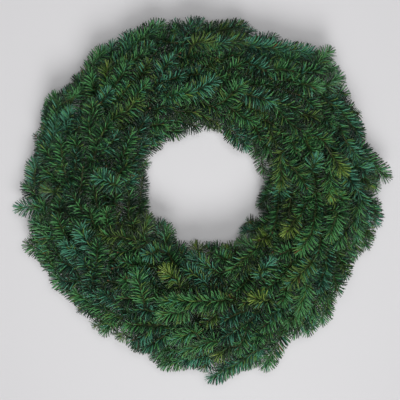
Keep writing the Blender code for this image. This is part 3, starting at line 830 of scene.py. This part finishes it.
def grow_needles(bm, shoot, rng):
    """Sets needles in a spiral along a shoot, closer together towards its tip, where they fan out."""
    total = length_of(shoot.points)
    count = round((total - shoot.bare) * NEEDLES_A_METRE[shoot.zone])
    spin = rng.uniform(0, math.tau)
    for i in range(count):
        share = 1 - (1 - (i + 0.5 + rng.uniform(-0.3, 0.3)) / count) ** TIP_CROWDING
        distance = shoot.bare + (total - shoot.bare) * share
        here, along, up = shoot_axes(shoot.points, distance)
        across = along.cross(up)
        off_top = math.remainder(spin + i * SPIRAL, math.tau)
        off_top *= (abs(off_top) / math.pi) ** PARTED_TOP * shoot.parting
        out = up * cos(off_top) + across * sin(off_top)
        top = max(out.dot(up), 0)
        lean = NEEDLE_LEAN[1] + (NEEDLE_LEAN[0] - NEEDLE_LEAN[1]) * top + rng.gauss(0, LEAN_WANDER)
        to_tip = total - distance
        if to_tip < TIP_ZONE:
            lean = TIP_LEAN + (lean - TIP_LEAN) * (to_tip / TIP_ZONE) ** 0.5
        heading = along * cos(radians(lean)) + out * sin(radians(lean))
        from_root = distance - shoot.bare
        size = shoot.fullness * rng.uniform(*NEEDLE_SIZES) * (1 - TOP_SHORTENING * top)
        size *= min(1, TIP_SIZE + (1 - TIP_SIZE) * to_tip / TIP_ZONE)
        size *= min(1, ROOT_SIZE + (1 - ROOT_SIZE) * from_root / ROOT_ZONE)
        if shoot.zone != "own":
            size *= 1 - min(max(past_edge(here + heading * NEEDLE * size) / NEEDLE, 0), TRIM)
        lowest = (FLOOR_GAP - here.z) / (NEEDLE * size)
        if heading.z < lowest:
            heading = Vector((*heading.xy.normalized() * math.sqrt(1 - lowest**2), lowest))
        face_to = up * NEEDLE_FACE[0] + along * NEEDLE_FACE[1]
        face_to = face_to - heading * face_to.dot(heading)
        if face_to.length < 0.05:  # the needle points the way its face should turn
            face_to = out - heading * out.dot(heading)
        x = face_to.normalized()
        y = heading.cross(x)
        twist = rng.gauss(0, TWIST_WANDER)
        x, y = x * cos(twist) + y * sin(twist), y * cos(twist) - x * sin(twist)
        bend = NEEDLE_BENDS[0] if top > BACKWARD_TOP else rng.choice(NEEDLE_BENDS[1:])
        root = here + out * shoot.girth * NEEDLE_SINK
        there = stand_at(root, x * size, y * size, heading * size)
        press_needle(bm, (tone_of(shoot, share, out.dot(up), rng), bend, shoot.zone == "inside"), there)


# Fir needle cuticle: a dark green skin under a thin wax bloom, which gives a soft sheen and two pale bands
# below, where the pores are. The pale line along the groove of the upper face is partly wax and partly a
# painted highlight. Cutin and wax have an IOR of about 1.45.
needle_skin, surface = new_material("waxy_fir_needle")
chart = add_node(needle_skin, "UVMap", {"uv_map": "OFBake"}).outputs["UV"]
axes = add_node(needle_skin, "SeparateXYZ", Vector=chart)
columns = add_node(needle_skin, "Math", {"operation": "MULTIPLY"}, _0=axes.outputs["X"], _1=float(TONES))
column = add_node(needle_skin, "Math", {"operation": "FLOOR"}, _0=columns.outputs[0])
column_middle = add_node(
    needle_skin, "Math", {"operation": "MULTIPLY_ADD"},
    _0=column.outputs[0], _1=1 / TONES, _2=0.5 / TONES,
)
tone = set_ramp(
    add_node(needle_skin, "ValToRGB", Fac=column_middle.outputs[0]),
    *[(i / TONES, hex_colour(TONE_HEX[i // SHADES][i % SHADES])) for i in range(TONES)],
)
tone.color_ramp.interpolation = "CONSTANT"
across = add_node(needle_skin, "Math", {"operation": "FRACT"}, _0=columns.outputs[0])
# A pale line in the middle of the upper face, partly wax and partly a painted highlight, and the two pale
# pore bands below.
bands = set_ramp(
    add_node(needle_skin, "ValToRGB", Fac=across.outputs[0]),
    *((0.10, 0.12), (0.22, 0.02), (0.26, 0.30), (0.30, 0.02), (0.45, 0.12)),
    *((0.60, 0.10), (0.68, 0.50), (0.74, 0.15), (0.80, 0.50), (0.88, 0.10)),
)
wax_and_painted_glint = add_node(
    needle_skin, "Mix", {"data_type": "RGBA"},
    _0=bands.outputs["Color"], _6=tone.outputs["Color"], _7=hex_colour("#6b8f78"),
)
ends = set_ramp(
    add_node(needle_skin, "ValToRGB", Fac=axes.outputs["Y"]),
    *((0.02, 0.55), (0.18, 0.0), (0.88, 0.0), (0.97, 0.45)),
)
tipped = add_node(
    needle_skin, "Mix", {"data_type": "RGBA"},
    _0=ends.outputs["Color"], _6=wax_and_painted_glint.outputs[2], _7=hex_colour("#5f7030"),
)
feed(needle_skin, surface, Base_Color=tipped.outputs[2], Roughness=0.3, IOR=1.45, Specular_IOR_Level=0.55)


# ---- Twigs, cut ends and buds ------------------------
# One-year twigs with smooth yellow-brown bark. The stems are cut off square behind each clamp, and every
# shoot ends in a cluster of three resin-coated buds.
TWIG_SIDES = 5
TWIG_STEP = 0.012
TWIG_TIP = 0.0007
BUD = 0.0042
BUD_RADIUS = 0.0013
BUD_BACK = BUD * 0.6  # the twig ends and its buds begin this far before the shoot's tip
BUD_MIDDLE = BUD * 0.35  # from there to a bud's middle
BUD_LEANS = ((0.0, 1.0), (0.55, 0.75), (-0.55, 0.75))  # the three buds: radians off the twig, and size
BARK, CUT_WOOD, RESIN = 1, 2, 3  # material numbers on a spray, after the needles' 0


def grow_twig(bm, shoot, is_cut):
    """Extrudes the twig along its shoot, tapering, with a face of bare wood where it was cut."""
    chart = bm.loops.layers.uv["OFBake"]
    total = length_of(shoot.points) - BUD_BACK
    steps = max(3, round(total / TWIG_STEP))
    before = set(bm.faces)
    here = None
    for i in range(steps + 1):
        distance = total * i / steps
        middle, along, up = shoot_axes(shoot.points, distance)
        radius = shoot.girth + (TWIG_TIP - shoot.girth) * (i / steps)
        there = stand_at(middle, up * radius, along.cross(up) * radius, along)
        if here is None:
            made = bmesh.ops.create_circle(bm, cap_ends=True, radius=1, segments=TWIG_SIDES, matrix=there)
            face = made["verts"][0].link_faces[0]
            if is_cut:
                face.material_index = CUT_WOOD
        else:
            face = extrude_end(bm, face, keep=i == 1)
            face.material_index = BARK
            bmesh.ops.transform(bm, matrix=there @ here.inverted(), verts=face.verts[:])
        here = there
    made = [f for f in bm.faces if f not in before]
    bmesh.ops.recalc_face_normals(bm, faces=made)
    for face in made:
        face.smooth = len(face.verts) == 4
        if face.material_index == 0:
            face.material_index = BARK
        for k, loop in enumerate(face.loops):
            turn = k * math.tau / len(face.loops)
            loop[chart].uv = (0.5 + 0.45 * cos(turn), 0.5 + 0.45 * sin(turn))


def grow_buds(bm, shoot):
    """Sets the cluster of buds on the twig's end: one ahead, and a smaller one at each side."""
    chart = bm.loops.layers.uv["OFBake"]
    end, along, up = shoot_axes(shoot.points, length_of(shoot.points) - BUD_BACK)
    across = along.cross(up)
    for lean, size in BUD_LEANS:
        out = along * cos(lean) + across * sin(lean)
        side = out.cross(up)
        middle = end + out * BUD_MIDDLE
        there = stand_at(middle, side * BUD_RADIUS * size, up * BUD_RADIUS * size, out * BUD / 2 * size)
        made = bmesh.ops.create_icosphere(bm, subdivisions=1, radius=1, matrix=there)
        faces = {f for v in made["verts"] for f in v.link_faces}
        for face in faces:
            face.material_index = RESIN
            face.smooth = True
            for k, loop in enumerate(face.loops):
                loop[chart].uv = ((0.1, 0.1), (0.9, 0.1), (0.5, 0.9))[k]


def flecked_material(name, fleck, detail, dark, pale, roughness, ior):
    """A material with flecks of this size. Dark and pale are its colours, each with its place in the ramp."""
    material, surface = new_material(name)
    spot = add_node(material, "TexCoord").outputs["Object"]
    flecks = add_node(material, "TexNoise", Vector=spot, Scale=1 / fleck, Detail=detail)
    stops = [(stop, hex_colour(colour)) for stop, colour in (dark, pale)]
    colours = set_ramp(add_node(material, "ValToRGB", Fac=flecks.outputs["Fac"]), *stops)
    feed(material, surface, Base_Color=colours.outputs["Color"], Roughness=roughness, IOR=ior)
    return material


# Young fir bark: smooth, satin, yellow-brown with darker flecks where needles fell off.
bark = flecked_material("young_fir_bark", 0.00238, 2.0, (0.35, "#2a3018"), (0.65, "#474f27"), 0.6, 1.5)

# Freshly cut softwood: pale, dry, with resin darkening in rings.
cut_wood = flecked_material("cut_fir_wood", 0.00111, 2.0, (0.4, "#a88a5c"), (0.6, "#cdb483"), 0.8, 1.5)

# Bud scales under dried resin: red-brown and glossy.
resin = flecked_material("resinous_fir_bud", 0.00091, 1.0, (0.4, "#4a2f1c"), (0.6, "#7a5330"), 0.3, 1.54)


# ---- The sprays --------------------------------------
# Each spray is one branch: its twigs, needles and buds in one piece, which stands for its plainer solid.
scene = bpy.context.scene
for n, (bunch, index) in enumerate(places):
    node = f"bunch{bunch + 1}_{STATIONS[index].name}_spray"
    rng = spray_random(bunch, index, 6)
    bm = bmesh.new()
    bm.loops.layers.uv.new("OFBake")
    for shoot in sprays[n]:
        grow_needles(bm, shoot, rng)
    wood = bmesh.new()
    wood.loops.layers.uv.new("OFBake")
    for k, shoot in enumerate(sprays[n]):
        grow_twig(wood, shoot, is_cut=k == 0)
        grow_buds(wood, shoot)
    part = bpy.data.meshes.new(node + "_wood")
    wood.to_mesh(part)
    wood.free()
    bm.from_mesh(part)
    bpy.data.meshes.remove(part)
    mesh = bpy.data.meshes.new(node + "_foliage")
    for material in (needle_skin, bark, cut_wood, resin):
        mesh.materials.append(material)
    bm.to_mesh(mesh)
    bm.free()
    piece = bpy.data.objects.new(node + "_foliage", mesh)
    scene.collection.objects.link(piece)
    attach(piece, "root")
    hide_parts(node)
for die in dies.values():
    bpy.data.meshes.remove(die)


# ---- Studio ------------------------------------------
# A pale plain floor, soft daylight from a window at the foot of the wreath and a broad lamp above it. The
# camera looks straight down.
bpy.ops.mesh.primitive_plane_add(size=6)
floor = bpy.context.object
floor.name = "studio_floor"
floor_paint, surface = new_material("matt_floor_paint")
feed(floor_paint, surface, Base_Color=hex_colour("#d5d4d6"), Roughness=0.9)
floor.data.materials.append(floor_paint)

# The lights: name, kind, width (an angle for the window), power, place, and the point that it faces.
LIGHTS = (
    ("window", "SUN", radians(30), 1.9, (0.12, -0.9, 1.0), (0, 0, 0)),
    ("ceiling_lamp", "AREA", 0.9, 15.0, (0.08, 0.05, 1.7), (0, 0, 0)),
    ("low_lamp", "AREA", 0.35, 0.6, (0.05, -0.55, 0.62), (0, -0.02, 0)),
)
DOME_STRENGTH = 0.08  # light from all sides, so that no gap in the foliage goes black
for name, kind, size, power, stand, aim in LIGHTS:
    light = bpy.data.lights.new(name, kind)
    light.energy = power
    if kind == "SUN":
        light.angle = size
    else:
        light.shape = "DISK"
        light.size = size
    lamp = bpy.data.objects.new(name, light)
    lamp.location = stand
    lamp.rotation_euler = (Vector(aim) - Vector(stand)).to_track_quat("-Z", "Y").to_euler()
    scene.collection.objects.link(lamp)

world = bpy.data.worlds.new("dome")
world.use_nodes = True
feed(world, world.node_tree.nodes["Background"], Color=(1, 1, 1, 1), Strength=DOME_STRENGTH)
scene.world = world
scene.view_settings.view_transform = "Standard"

CAMERA_PLACE = (-0.0008, -0.0015, 1.40)
FIELD = 0.6  # the width that the view takes in at mid height
MID_HEIGHT = 0.045
SENSOR = 36  # millimetres
lens = bpy.data.cameras.new("camera")
lens.sensor_width = SENSOR
lens.lens = SENSOR * (CAMERA_PLACE[2] - MID_HEIGHT) / FIELD
camera = bpy.data.objects.new("camera", lens)
camera.location = CAMERA_PLACE
scene.collection.objects.link(camera)
scene.camera = camera
